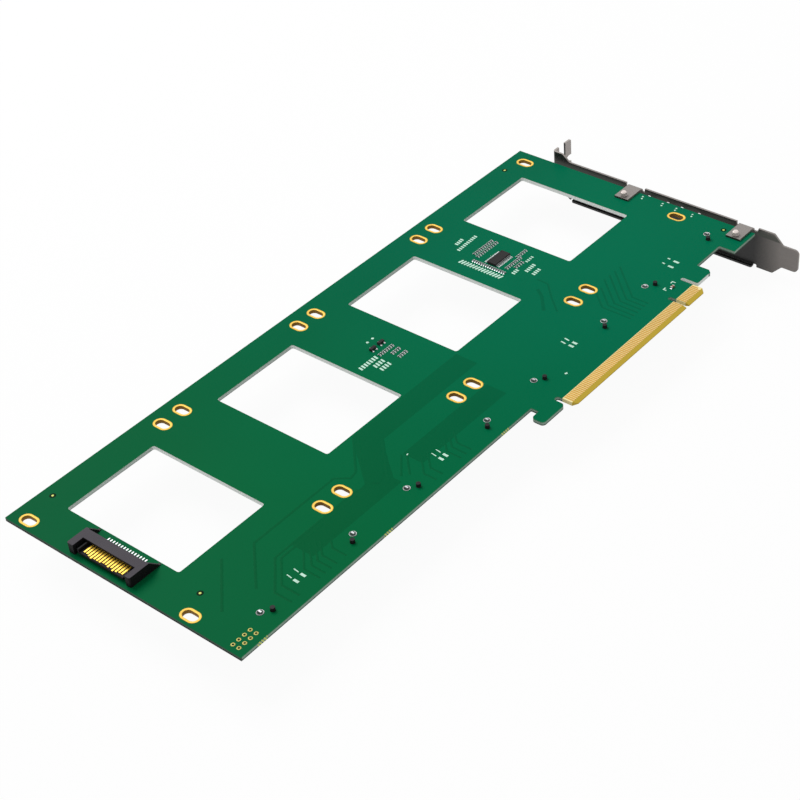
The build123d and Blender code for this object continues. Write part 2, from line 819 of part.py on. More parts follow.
def reservoir_capacitor(bay, side):
    """Moulded capacitor under the board beside a receptacle, with its two feet."""
    length, width, height = reservoir_size
    y = receptacle_line(bay) + side * (receptacle_base_length / 2 + reservoir_gap + width / 2)
    x = -reservoir_inset
    body = block((x - length / 2, x + length / 2), (y - width / 2, y + width / 2),
                 (under_face - reservoir_foot_thick - height, under_face - reservoir_foot_thick))
    body = chamfer(body.faces().sort_by(Axis.Z)[0].edges(), reservoir_corner)
    feet = [block((min(end, inner), max(end, inner)),
                  (y - reservoir_foot_width / 2, y + reservoir_foot_width / 2),
                  (under_face - reservoir_foot_thick, under_face))
            for end, inner in ((x - length / 2 - reservoir_foot_reach, x - length / 4),
                               (x + length / 2 + reservoir_foot_reach, x + length / 4))]
    return fuse([body, *feet])


def status_light(x):
    """Side-facing light under the board's edge, with a rounded lens towards its bracket hole."""
    front = bracket_end - light_setback
    body = block((x - light_width / 2, x + light_width / 2), (front - light_depth, front),
                 (under_face - light_height, under_face))
    lens = block((x - light_lens_width / 2, x + light_lens_width / 2), (front, front + light_lens_radius),
                 (light_level - light_lens_radius, light_level + light_lens_radius))
    round_edges = lens.edges().filter_by(Axis.X).group_by(Axis.Y)[-1]
    return fuse([body, fillet(round_edges, light_lens_round)])


def main():
    """Build every node and write it."""
    os.makedirs("parts", exist_ok=True)
    save("circuit_board", circuit_board())
    save("edge_contacts_solder_side", edge_contacts(1))
    save("edge_contacts_component_side", edge_contacts(-1))
    save("mounting_bracket", mounting_bracket())
    save("bracket_screws", [bracket_screw(-place) for place in clip_places])
    for number, bay in enumerate(bays, start=1):
        save(f"drive_receptacle_{number}", drive_receptacle(bay))
        save(f"receptacle_contacts_{number}", receptacle_contacts(bay))
        save(f"receptacle_locks_{number}", receptacle_locks(bay))
        save(f"reservoir_capacitors_{number}", [reservoir_capacitor(bay, side) for side in (-1, 1)])
    save("power_header_housing", power_header_housing())
    save("power_header_contacts", power_header_contacts())
    save("power_header_hold_downs", power_header_hold_downs())
    save("clock_chip_body", clock_chip_body())
    save("clock_chip_leads", clock_chip_leads())
    save("transistor_bodies", transistor_bodies())
    save("transistor_legs", transistor_legs())
    save("clock_chip_passives", chip_parts(row_places(clock_rows, clock_row_counts), small_chip))
    save("control_passives", chip_parts(row_places(control_rows, control_row_counts), small_chip))
    save("edge_capacitor", chip_parts([(*edge_capacitor_place, False)], large_chip))
    for number, x in enumerate(light_lines, start=1):
        save(f"status_light_{number}", status_light(x))


main()
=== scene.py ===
# Scene of the drive adapter card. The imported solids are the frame; the pieces made here are the
# plating, solder, ink, screw threads and rounded edges that sit on them. Shapes are worked out in
# millimetres in the card's own frame and written to meshes in metres.

from math import pi, radians

import bmesh
import bpy
import numpy as np
from bpy.types import NodeSocket, Operator, Panel, PropertyGroup
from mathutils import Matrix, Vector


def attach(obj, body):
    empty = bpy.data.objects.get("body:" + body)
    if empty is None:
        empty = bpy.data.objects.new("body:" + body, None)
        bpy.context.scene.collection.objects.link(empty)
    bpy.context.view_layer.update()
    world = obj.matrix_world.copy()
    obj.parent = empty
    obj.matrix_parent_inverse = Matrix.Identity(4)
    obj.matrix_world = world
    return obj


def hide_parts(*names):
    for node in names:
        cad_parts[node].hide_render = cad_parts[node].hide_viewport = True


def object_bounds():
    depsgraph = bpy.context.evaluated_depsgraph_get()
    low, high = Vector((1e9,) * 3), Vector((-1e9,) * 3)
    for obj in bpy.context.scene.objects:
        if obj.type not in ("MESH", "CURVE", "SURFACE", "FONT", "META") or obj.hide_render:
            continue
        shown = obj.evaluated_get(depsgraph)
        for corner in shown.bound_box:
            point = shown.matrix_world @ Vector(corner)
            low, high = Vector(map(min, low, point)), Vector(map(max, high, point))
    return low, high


bl_info = {
    "name": "Drive adapter card",
    "version": (1, 0, 0),
    "blender": (4, 5, 0),
    "location": "View3D > Sidebar > Card",
    "description": "Dresses the solids of a drive adapter card with plating, solder and ink",
    "category": "Object",
}

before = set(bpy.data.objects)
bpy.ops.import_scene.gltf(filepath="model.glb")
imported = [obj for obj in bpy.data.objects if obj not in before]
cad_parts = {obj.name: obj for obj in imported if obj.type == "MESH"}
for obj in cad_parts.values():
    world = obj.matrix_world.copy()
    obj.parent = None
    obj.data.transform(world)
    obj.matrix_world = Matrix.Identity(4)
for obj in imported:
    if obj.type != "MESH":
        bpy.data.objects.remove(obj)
cad_low, cad_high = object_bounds()

# Where the source puts things, in millimetres
BOARD_FACE = 0.785
BAYS = (18.5, -52.93, -124.36, -195.79)
SLOT_LINES = (-113.9, -37.3)
SLOT_OFFSET, SLOT_SIZE = 30.86, (6.2, 3.6)
LOCK_LINE = -20.3
LOCK_OFFSETS = (-17.175, 26.775)
CLIP_FACE = 1.645
SCREW_PLACES = ((-63.4, 50.0), (-9.9, 50.0))
SCREW_RADIUS, SCREW_STAND_OUT = 1.26, 1.62
HEADER_FIRST, HEADER_PITCH, HEADER_COUNT = -84.79, 1.27, 15
HEADER_REAR, HEADER_TAILS = -220.5, -217.5
SPARE_HEADER, SPARE_PITCH = (-17.6, -220.2), 2.54
CHIP, LEAD_REACH, LEAD_PITCH = (-78.3, -15.4), 3.35, 0.65
SMALL_CHIP = (1.0, 0.54, 0.38)
CHIP_ROWS = (
    ((-88.6, -6.6), 0.0, -1.25, 10, True), ((-86.4, -6.4), 0.0, -1.35, 10, True),
    ((-73.2, -4.6), 0.0, -1.35, 5, True), ((-71.9, -9.9), 0.0, -1.25, 8, True),
    ((-69.3, -12.0), 0.0, -1.4, 4, True), ((-86.0, -21.7), 1.1, 0.0, 15, False),
    ((-76.4, -82.9), 0.0, -1.2, 7, True), ((-73.2, -82.9), 0.0, -1.25, 4, True),
    ((-69.8, -82.9), 0.0, -1.25, 4, True),
)
EDGE_CAPACITOR = ((-11.2, 6.6), (1.7, 0.9, 0.7))
TRANSISTORS = ((-80.9, -84.2), (-80.8, -88.8))
TRANSISTOR_LEGS = ((-1.1, 0.0), (1.1, -0.95), (1.1, 0.95))
RECEPTACLE_SHIFT, RECEPTACLE_REACH, RECEPTACLE_SIDES = 4.8, 24.6, (-23.0, -15.9)
CAPACITOR_OFFSET, CAPACITOR_SIDES = 27.1, (-30.9, -22.1)
LIGHT_LINES, LIGHT_SIDES = (-56.4, -47.2, -40.4, -32.1), (52.9, 55.9)
# Edges of the materials' masks: axis, where the mask starts and where it is full
WINDOW_WALLS = (("X", -108.0, -107.8), ("X", -53.9, -54.1), ("Y", -229.2, -229.0))
SLIT_WALLS = (("X", -17.0, -16.9), ("Y", 8.0, 8.1), ("Y", 22.1, 22.0))
TONGUE = (("X", -5.85, -5.75), ("Y", -72.8, -72.7), ("Y", 12.7, 12.6))
BEVEL = ("X", -1.65, -1.55)
BLADE_LIP = (("Z", -1.4, -1.9), ("Y", 59.4, 59.2), ("X", 2.0, -4.0))
# Where the board was snapped from its panel
TIE_BARS, TIE_BAR_EDGE, TIE_BAR_PITCH = (-98.3, -161.2, -220.9), ("X", -12.2, -12.1), 1.1
# In metres: how far a tie bar reaches from its middle, and points that coincide
TIE_BAR_REACH, SAME_POINT = (0.0021, 0.0023), 1e-6


# settings a user would change

def setting(name, description, default, **kind):
    """Property of one number or, where the default is several, of as many."""
    several, make = {}, bpy.props.FloatProperty
    if np.size(default) > 1:
        several, make = {"size": len(default)}, bpy.props.FloatVectorProperty
    return make(name=name, description=description, default=default, precision=6, **several, **kind)


def paint(name, description, red, green, blue):
    """Colour property whose default is given as it looks on a screen, 0 to 255."""
    screen = np.array((red, green, blue)) / 255
    linear = np.where(screen <= 0.04045, screen / 12.92, ((screen + 0.055) / 1.055) ** 2.4)
    return setting(name, description, tuple(linear.tolist()), subtype="COLOR", min=0, max=1)


def length(name, description, millimetres):
    """Length property with its default in millimetres."""
    return setting(name, description, millimetres * 0.001, unit="LENGTH", min=0)


class CardColours(PropertyGroup):
    """Colours of the card's finishes."""
    mask: paint("Solder mask", "Green lacquer on both faces of the board", 0, 99, 57)
    copper: paint("Mask over copper", "Lacquer where copper runs under it", 0, 91, 51)
    rim: paint("Cut edge", "Laminate where the outline was routed", 150, 172, 158)
    cut: paint("Window wall", "Clean laminate on the walls of the windows", 248, 252, 249)
    stub: paint("Broken tie bar", "Fibres where the board was snapped off its panel", 214, 222, 120)
    laminate: paint("Bare laminate", "Laminate between the edge contacts", 246, 230, 170)
    bevel: paint("Bevelled edge", "Ground edge of the contact tongue", 202, 174, 66)
    finger: paint("Contact plate", "Gold plate of the edge contacts", 200, 152, 58)
    gold: paint("Gold plate", "Lands of the slots and test points", 252, 206, 96)
    old_gold: paint("Dull plate", "Pads of the unused header", 188, 180, 100)
    pin_gold: paint("Contact gold", "Contacts of the power header", 246, 200, 66)
    # The plated wall's own colour, darkened as painted shade of the slot's inside
    barrel: paint("Plated wall", "Inner walls of the plated slots", 150, 114, 52)
    silk: paint("Printing ink", "White marks on the board", 196, 232, 214)
    tin: paint("Tin and solder", "Tinned leads and soldered joints", 206, 208, 210)
    flux: paint("Soldered hollow", "Dull hollows inside the soldered rings", 40, 62, 50)
    bounce: paint("Bracket foot of the blade", "Light that the board throws up", 48, 54, 44)
    steel: paint("Bracket steel", "Plated sheet of the mounting bracket", 138, 132, 128)
    # Painted shade: the inner face of the bracket is given near black for the shade it lies in
    blade: paint("Bracket inside", "Face of the bracket that looks over the board", 15, 14, 14)
    screw: paint("Screw steel", "Bright screws of the bracket", 226, 214, 208)
    black_mould: paint("Receptacle plastic", "Black glass-filled plastic", 20, 20, 21)
    grey_mould: paint("Header plastic", "Dark grey plastic of the power header", 68, 64, 70)
    epoxy: paint("Chip epoxy", "Moulded bodies of chip and transistors", 32, 30, 30)
    film: paint("Chip part body", "Dark bodies of the chip resistors", 12, 12, 14)
    ceramic: paint("Ceramic", "Brown body of the ceramic capacitor", 132, 84, 44)
    capacitor: paint("Capacitor case", "Moulded cases beside the receptacles", 52, 46, 40)
    milk: paint("Light body", "Milky bodies of the status lights", 222, 222, 212)


class CardSizes(PropertyGroup):
    """Thicknesses and widths of what is put on the solids."""
    land: length("Land width", "Width of the gold ring round a slot", 0.85)
    plating: length("Plating", "How far plating stands off the laminate", 0.035)
    ink: length("Ink height", "Height of the printed marks", 0.03)
    copper: length("Copper height", "Rise of the lacquer over a trace", 0.03)
    thread_pitch: length("Thread pitch", "Rise of the screws in one turn", 0.6)
    thread_depth: length("Thread depth", "Height of the thread from root to crest", 0.22)
    cap: length("End cap", "Length of a chip part's metal end", 0.27)
    mould_round: length("Moulding edge", "Rounding of moulded edges", 0.14)
    sheet_round: length("Sheet edge", "Rounding of the bracket's sheared edges", 0.1)


class CardStage(PropertyGroup):
    """Camera, floor and light."""
    place: setting("Camera place", "Where the camera stands", (0.290215, -0.467533, 0.392119),
                   subtype="TRANSLATION")
    turn: setting("Camera turn", "Turn of the camera about X, Y and Z",
                  tuple(radians(v) for v in (51.75879, 2.93188, 38.22543)), subtype="EULER")
    lens: setting("Focal length", "In millimetres on a 36 mm sensor", 79.772, min=1)
    shift: setting("Shift", "Framing shift of the image", (-0.09087, -0.00593))
    floor: paint("Floor", "Pale floor under the card", 236, 236, 236)
    floor_glow: setting("Floor whiteness", "How much of the floor is plain white to the camera",
                        0.95, subtype="FACTOR", min=0, max=1)
    sky: setting("Sky light", "Even light from all round", 0.5, subtype="FACTOR", min=0, max=1)
    key: setting("Key lamp", "Power of the large soft lamp", 16.0, unit="POWER", min=0)
    key_size: length("Key lamp size", "Side of the square lamp", 900.0)
    key_place: setting("Key lamp place", "Where the large lamp hangs", (-0.95, 0.05, 1.15),
                       subtype="TRANSLATION")


# surfaces as arrays

def grid(rows, columns, wrap_rows=False, wrap_columns=False):
    """Quads between neighbours of a rows by columns grid of points, closed round where asked."""
    i, j = np.meshgrid(np.arange(rows if wrap_rows else rows - 1),
                       np.arange(columns if wrap_columns else columns - 1), indexing="ij")
    near, far = i * columns, (i + 1) % rows * columns
    right = (j + 1) % columns
    return np.stack([near + j, far + j, far + right, near + right], -1).reshape(-1, 4).tolist()


def tube(rings, columns):
    """Quads of a tube of rings with that many points each, and one face over either end."""
    points = list(range(rings * columns))
    return grid(rings, columns, False, True) + [points[:columns], points[:-columns - 1:-1]]


def gather(surfaces):
    """One surface from several: points are stacked and each face's numbers moved up to match."""
    points, faces, start = [], [], 0
    for spots, sides in surfaces:
        points.append(spots)
        faces += [[k + start for k in side] for side in sides]
        start += len(spots)
    return np.concatenate(points), faces


def repeat(template, places, turns=0.0):
    """A surface at many flat places: point = place + turn of the template's point about Z."""
    points, faces = template
    x, y, z = points.T[:, None, :]
    east, north = np.asarray(places, float).T[:, :, None]
    turns = np.broadcast_to(turns, len(places))[:, None]
    c, s = np.cos(turns), np.sin(turns)
    spots = np.stack([x * c - y * s + east, x * s + y * c + north, z + 0 * c], -1).reshape(-1, 3)
    starts = range(0, len(spots), len(points))
    return spots, [[k + start for k in side] for start in starts for side in faces]


def carried(path, profile, closed=False):
    """Profile (offset to the left, height) carried along a flat path.

    At each point of the path the offset is laid along the bisector of the two runs that meet
    there, longer by one over the cosine of half their turn, so that the runs keep their width.
    """
    path, profile = np.asarray(path, float), np.asarray(profile, float)
    ahead = np.roll(path, -1, 0) - path
    if not closed:
        ahead[-1] = ahead[-2]
    ahead /= np.linalg.norm(ahead, axis=1)[:, None]
    behind = np.roll(ahead, 1, 0)
    if not closed:
        behind[0] = ahead[0]
    side_a, side_b = (np.stack([-d[:, 1], d[:, 0]], 1) for d in (ahead, behind))
    middle = side_a + side_b
    middle /= np.linalg.norm(middle, axis=1)[:, None]
    middle /= (middle * side_a).sum(1)[:, None]
    flat = path[:, None, :] + middle[:, None, :] * profile[None, :, :1]
    height = np.broadcast_to(profile[None, :, 1:], (*flat.shape[:2], 1))
    points = np.concatenate([flat, height], -1).reshape(-1, 3)
    size = len(path), len(profile)
    return points, grid(*size, True, True) if closed else tube(*size)


def turns_of(steps):
    """Angles of one turn, as a column."""
    return np.linspace(0, 2 * pi, steps, endpoint=False)[:, None]


def sleeve(turn, radius, height):
    """Surface round Z: x = r cos a, y = r sin a. Radius and height may change with the turn."""
    points = np.stack([radius * np.cos(turn), radius * np.sin(turn), height + 0 * turn], -1)
    return points.reshape(-1, 3), grid(*points.shape[:2], True)


def spun(profile, steps=24):
    """Profile (radius, height over the board) turned about Z. A zero radius closes it."""
    radius, height = np.asarray(profile, float).T
    return sleeve(turns_of(steps), radius, height + BOARD_FACE)


def bead(width, height, base):
    """Section of a low bead: flat underneath, its top an arch one width wide."""
    turn = np.linspace(0, pi, 5)
    arch = np.stack([np.cos(turn) * width / 2, base + np.sin(turn) ** 0.6 * height], 1)
    return arch[::-1]


def stadium(long, wide, steps=14):
    """Closed path of a slot along X: two half circles joined by straight runs."""
    radius, half = wide / 2, (long - wide) / 2
    turn = np.linspace(-pi / 2, pi / 2, steps + 1)
    right = np.stack([half + radius * np.cos(turn), radius * np.sin(turn)], 1)
    return np.concatenate([right, -right])


def mound(long, wide, high):
    """Low mound of solder on the board: x and y follow an ellipse and z the top of a dome."""
    turn, rise = turns_of(16), np.linspace(0, pi / 2, 5)
    points = np.stack([np.cos(turn) * np.cos(rise) * long / 2,
                       np.sin(turn) * np.cos(rise) * wide / 2,
                       np.sin(rise) ** 0.7 * high + BOARD_FACE + 0 * turn], -1)
    return points.reshape(-1, 3), grid(16, 5, True)


def end_cap(long, wide, high, reach):
    """Metal end of a chip part and its solder, the far end towards plus X.

    The section runs from the body's top over its end and down a hollow slope to the board, and
    is carried across the part's width. Metal stands over the body by its own thickness.
    """
    half, metal = long / 2, 0.02
    x, z = np.array([(half - reach, high - metal), (half - reach, high + metal),
                     (half - 0.03, high + metal), (half + metal, high - 0.03),
                     (half + metal + 0.03, high * 0.55), (half + 0.12, high * 0.2),
                     (half + 0.36, 0.01), (half - reach, 0.01)]).T
    y = np.array([[-1], [1]]) * (wide / 2 + metal)
    points = np.stack([x + 0 * y, y + 0 * x, z + BOARD_FACE + 0 * y], -1)
    return points.reshape(-1, 3), tube(2, len(x))


def box_path(x_low, x_high, y_low, y_high):
    """Closed path round a rectangle."""
    return [(x_low, y_low), (x_high, y_low), (x_high, y_high), (x_low, y_high)]


def from_corner(u, v):
    """Card coordinates of a place measured along the board from the first bay and across it from
    the first slot line."""
    return v + SLOT_LINES[0], BAYS[0] - u


# pieces

def clean(source, mesh, weld=False, join=False):
    """Write a mesh into another, its faces outwards and smooth, on request with points that
    coincide merged and flat triangles joined."""
    work = bmesh.new()
    work.from_mesh(source)
    if weld:
        bmesh.ops.remove_doubles(work, verts=work.verts, dist=SAME_POINT)
    if join:
        bmesh.ops.dissolve_limit(work, angle_limit=radians(0.5), verts=work.verts, edges=work.edges)
    bmesh.ops.recalc_face_normals(work, faces=work.faces)
    for face in work.faces:
        face.smooth = True
    work.to_mesh(mesh)
    work.free()


def add_object(name, data):
    """New object in the scene."""
    made = bpy.data.objects.new(name, data)
    bpy.context.scene.collection.objects.link(made)
    return made


def add_piece(name, mesh, finish):
    """Object of a mesh with its finish, riding on the card."""
    mesh.materials.clear()
    mesh.materials.append(look(finish))
    piece = add_object(name, mesh)
    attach(piece, "root")
    return piece


def make_piece(name, surface, finish, smooth=40.0, weld=False, values=None):
    """Piece in metres from a surface in millimetres."""
    points, faces = surface
    mesh = bpy.data.meshes.new(name)
    mesh.from_pydata((points * 0.001).tolist(), [], faces)
    if values is not None:
        layer = mesh.attributes.new("depth", "FLOAT", "POINT")
        layer.data.foreach_set("value", values.astype(np.float32))
    clean(mesh, mesh, weld)
    mesh.set_sharp_from_angle(angle=radians(smooth))
    add_piece(name, mesh, finish)


def soften(node, width, finish, limit=35.0):
    """Copy of a solid with its loose triangles merged and its sharp edges rounded."""
    name = f"{node}_rounded"
    mesh = bpy.data.meshes.new(name)
    clean(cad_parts[node].data, mesh, weld=True, join=True)
    piece = add_piece(name, mesh, finish)
    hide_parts(node)
    rounding = piece.modifiers.new("rounding", "BEVEL")
    rounding.width, rounding.segments = width, 2
    rounding.limit_method, rounding.angle_limit = "ANGLE", radians(limit)
    rounding.harden_normals = True
    rounding.miter_outer = "MITER_ARC"
    # Large faces keep their own normal, so that they stay flat beside a bend
    evened = piece.modifiers.new("evened", "WEIGHTED_NORMAL")
    evened.mode, evened.weight = "FACE_AREA", 100


# nodes

def fill(socket, value):
    """Link a socket to another or give it a value. A colour gets its alpha."""
    if isinstance(value, NodeSocket):
        socket.id_data.links.new(value, socket)
    else:
        socket.default_value = (*value, 1.0) if socket.type == "RGBA" else value


def put(tree, kind, inputs=None, **settings):
    """New node with its settings and its inputs, in the inputs' own tree where none is named."""
    if tree is None:
        tree = next(v.id_data for v in inputs.values() if isinstance(v, NodeSocket))
    new = tree.nodes.new("ShaderNode" + kind)
    for key, value in settings.items():
        setattr(new, key, value)
    for key, value in (inputs or {}).items():
        fill(new.inputs[key], value)
    return new


def sums(operation, *values, clamp=False):
    """Result of one arithmetic node."""
    inputs = dict(enumerate(values))
    return put(None, "Math", inputs, operation=operation, use_clamp=clamp).outputs[0]


def product(first, *others):
    """Product of values."""
    for value in others:
        first = sums("MULTIPLY", first, value)
    return first


def scaled(colour, factor):
    """Colour times a number."""
    return put(None, "VectorMath", {0: colour, "Scale": factor}, operation="SCALE").outputs[0]


def stretched(vector, factors):
    """Vector or colour times another, part by part."""
    return put(None, "VectorMath", {0: vector, 1: factors}, operation="MULTIPLY").outputs[0]


def blend(factor, first, second):
    """Colour between two, by a factor."""
    return put(None, "Mix", {0: factor, 6: first, 7: second}, data_type="RGBA").outputs[2]


def between(value, low, high, first, second):
    """Value mapped from one span to another, held at its ends."""
    return put(None, "MapRange", dict(enumerate((value, low, high, first, second)))).outputs[0]


def coordinate(tree, output="Object"):
    """Place of a point on the piece, or its normal."""
    return put(tree, "TexCoord").outputs[output]


def axes(tree, output="Object"):
    """X, Y and Z of a point on the piece, or of its normal."""
    return put(None, "SeparateXYZ", {0: coordinate(tree, output)}).outputs


def along(place, axis, start, end, first=0.0, second=1.0):
    """Value that goes from first to second between two places on an axis, in millimetres."""
    return between(place[axis], start * 0.001, end * 0.001, first, second)


def zone(place, edges):
    """Mask of where every edge is passed, each as (axis, where it starts, where it is full)."""
    return product(*(along(place, *edge) for edge in edges))


def noise(place, scale, detail=2.0):
    """Soft noise between nothing and one."""
    inputs = {"Vector": place, "Scale": scale, "Detail": detail}
    return put(None, "TexNoise", inputs).outputs[0]


# shared effects

def start_group(name, inputs, **outputs):
    """New shader node group: its inputs with their defaults, its outputs with their kinds."""
    tree = bpy.data.node_groups.new(name, "ShaderNodeTree")
    kinds = {1: "Float", 3: "Vector", 4: "Color"}
    for title, default in inputs.items():
        kind = f"NodeSocket{kinds[np.size(default)]}"
        socket = tree.interface.new_socket(title, in_out="INPUT", socket_type=kind)
        socket.default_value = default
    for title, kind in outputs.items():
        tree.interface.new_socket(title, in_out="OUTPUT", socket_type=f"NodeSocket{kind}")
    return tree, tree.nodes.new("NodeGroupInput").outputs, tree.nodes.new("NodeGroupOutput").inputs


def put_out(tree, given, out, fine, share, broad):
    """Outputs of a grain group: the mask is a mean of two noises, and the colour is
    colour * (1 + 4 * contrast * (mask - one half))."""
    mask = sums("MULTIPLY_ADD", fine, share, product(broad, 1 - share))
    swing = product(sums("SUBTRACT", mask, 0.5), given["Contrast"])
    level = sums("MULTIPLY_ADD", swing, 4.0, 1.0)
    fill(out["Colour"], scaled(given["Colour"], level))
    fill(out["Mask"], mask)
    return tree


def fine_grain(name):
    """Fine grain: two sizes of noise added, as a mask about one half and as a tinted colour."""
    tree, given, out = start_group(
        name, {"Colour": (0.5, 0.5, 0.5, 1), "Contrast": 0.1, "Scale": 900.0, "Patch scale": 40.0},
        Colour="Color", Mask="Float")
    place = coordinate(tree)
    return put_out(tree, given, out, noise(place, given["Scale"], 3.0), 0.5,
                   noise(place, given["Patch scale"]))


def rolled_lines(name):
    """Rolled sheet: noise drawn out along one axis into fine lines, over broad patches."""
    tree, given, out = start_group(
        name, {"Stretch": (60.0, 2500.0, 2500.0), "Colour": (1, 1, 1, 1), "Contrast": 0.1},
        Colour="Color", Mask="Float")
    place = coordinate(tree)
    lines = noise(stretched(place, given["Stretch"]), 1.0, 4.0)
    return put_out(tree, given, out, lines, 0.6, noise(place, 60.0))


def glass_weave(name):
    """Glass cloth in the laminate: two sets of ridges at right angles, one under the other."""
    tree, given, out = start_group(name, {"Pitch": 0.00052}, Height="Float")
    place = axes(tree)
    waves = [sums("DIVIDE", place[axis], given["Pitch"]) for axis in "XY"]
    ridges = [sums("SINE", product(wave, 2 * pi)) for wave in waves]
    fill(out["Height"], sums("MAXIMUM", *ridges))
    return tree


def facing(name):
    """Which way a surface faces: how level it is, and how much it looks towards minus Y."""
    tree, given, out = start_group(name, {"Sharpness": 6.0}, Level="Float", Inward="Float")
    normal = axes(tree, "Normal")
    for title, value in (("Level", sums("ABSOLUTE", normal["Z"])),
                         ("Inward", product(normal["Y"], -1.0))):
        over = sums("SUBTRACT", value, 0.6)
        fill(out[title], sums("MULTIPLY_ADD", over, given["Sharpness"], 0.5, clamp=True))
    return tree


def effect(tree, build, inputs=None):
    """A shared effect placed in a material. Its group is built on its first use."""
    name = build.__name__
    shared = bpy.data.node_groups.get(name) or build(name)
    return put(tree, "Group", inputs, node_tree=shared).outputs


# finishes

def set_shader(tree, **inputs):
    """Set or link inputs of the material's shader, each named with _ for a space."""
    shader = tree.nodes["Principled BSDF"]
    for key, value in inputs.items():
        fill(shader.inputs[key.replace("_", " ")], value)


def shade(colour, amount):
    """Colour times a number, for a value that is the same all over."""
    return tuple(v * amount for v in colour)


def grain(tree, colour, contrast, scale, patches):
    """The grain effect with its colour and its two sizes of noise."""
    return effect(tree, fine_grain, {"Colour": colour, "Contrast": contrast, "Scale": scale,
                                     "Patch scale": patches})


def spread(mask, low, high):
    """Value between two, following a mask about one half."""
    return between(mask, 0.3, 0.7, low, high)


def relief(height, strength, distance):
    """Normal over a relief whose height is between nothing and one, in millimetres."""
    inputs = {"Height": height, "Strength": strength, "Distance": distance * 0.001}
    return put(None, "Bump", inputs).outputs[0]


def depth_of(tree):
    """How deep in a thread, or how near a brink, a point of the piece is."""
    return put(tree, "Attribute", attribute_name="depth").outputs["Fac"]


def lacquer_look(tree, colour, colours):
    """Solder mask on the faces, laminate on the edges, bare laminate and bevel on the tongue."""
    place, level = axes(tree), effect(tree, facing, {"Sharpness": 12.0})["Level"]
    cloudy = grain(tree, colour, 0.05, 1400.0, 22.0)
    # Painted light: the lacquer is a little lighter towards the bracket and dimmer at both far
    # rims. It is also bluer towards the bracket
    light = product(along(place, "Y", -230.0, 0.0, 0.94, 1.14),
                    along(place, "X", -112.0, -75.0, 0.88))
    painted_light_lacquer = scaled(cloudy["Colour"], light)
    bluer = stretched(painted_light_lacquer, (1.0, 1.0, 1.45))
    lacquer = blend(along(place, "Y", -170.0, -30.0), painted_light_lacquer, bluer)
    # The cut edge is darker along its bottom, with painted shade on the face at the far end. Above,
    # it is lacquer painted 1.6 times lighter as a highlight
    fibres = grain(tree, colours.rim, 0.24, 2600.0, 160.0)
    dark = product(along(place, "Z", -0.45, -0.2, 0.3), along(place, "Y", -230.2, -229.8, 0.25))
    spill_and_highlight = along(place, "Z", 0.45, 0.6, 0.0, 0.75)
    rim = blend(spill_and_highlight, scaled(fibres["Colour"], dark), shade(colours.mask, 1.6))
    # Walls of the windows and of the slits beside the tongue are clean and pale
    walls = sums("MAXIMUM", zone(place, WINDOW_WALLS), zone(place, SLIT_WALLS))
    rim = blend(product(walls, 0.9), rim, colours.cut)
    surface = blend(level, blend(tie_bars(place), rim, colours.stub), lacquer)
    tongue = zone(place, TONGUE)
    surface = blend(tongue, surface, colours.laminate)
    ground = product(tongue, along(place, *BEVEL))
    upright = sums("SUBTRACT", 1.0, level)
    set_shader(tree, Base_Color=blend(ground, surface, colours.bevel), Specular_IOR_Level=0.015,
               Roughness=sums("MULTIPLY_ADD", upright, 0.4, spread(cloudy["Mask"], 0.34, 0.44)),
               Normal=relief(effect(tree, glass_weave)["Height"], 0.12, 0.02))


def tie_bars(place):
    """Mask of the snapped tie bars: short runs of slanting fibres on the receptacles' edge."""
    slant = sums("MULTIPLY_ADD", place["Z"], 0.6, place["Y"])
    stripe = sums("SINE", product(slant, 2000 * pi / TIE_BAR_PITCH))
    runs = 0.0
    for middle in TIE_BARS:
        away = sums("ABSOLUTE", sums("SUBTRACT", place["Y"], middle * 0.001))
        runs = sums("ADD", runs, between(away, *TIE_BAR_REACH, 1.0, 0.0))
    return product(runs, along(place, *TIE_BAR_EDGE), between(stripe, -0.2, 0.4, 0.0, 1.0))


def plated_look(tree, colour, wall, roughness, contrast=0.1, metal=0.5, gloss=0.5, brink=None):
    """Plated metal with faint pits; walls that stand up shine less and take the wall colour, mostly
    painted shade.

    A brink colour takes over where the piece's depth rises.
    """
    level = effect(tree, facing)["Level"]
    worn = grain(tree, colour, contrast, 1800.0, 120.0)
    shown = blend(depth_of(tree), worn["Colour"], brink) if brink else worn["Colour"]
    # Standing walls take the wall colour, for most finishes a darker copy of the plate as painted
    # shade
    set_shader(tree, Base_Color=blend(level, wall, shown), Specular_IOR_Level=gloss,
               Metallic=sums("MULTIPLY_ADD", level, metal * 0.7, metal * 0.3),
               Roughness=spread(worn["Mask"], roughness - 0.08, roughness + 0.1),
               Normal=relief(worn["Mask"], 0.2, 0.01))


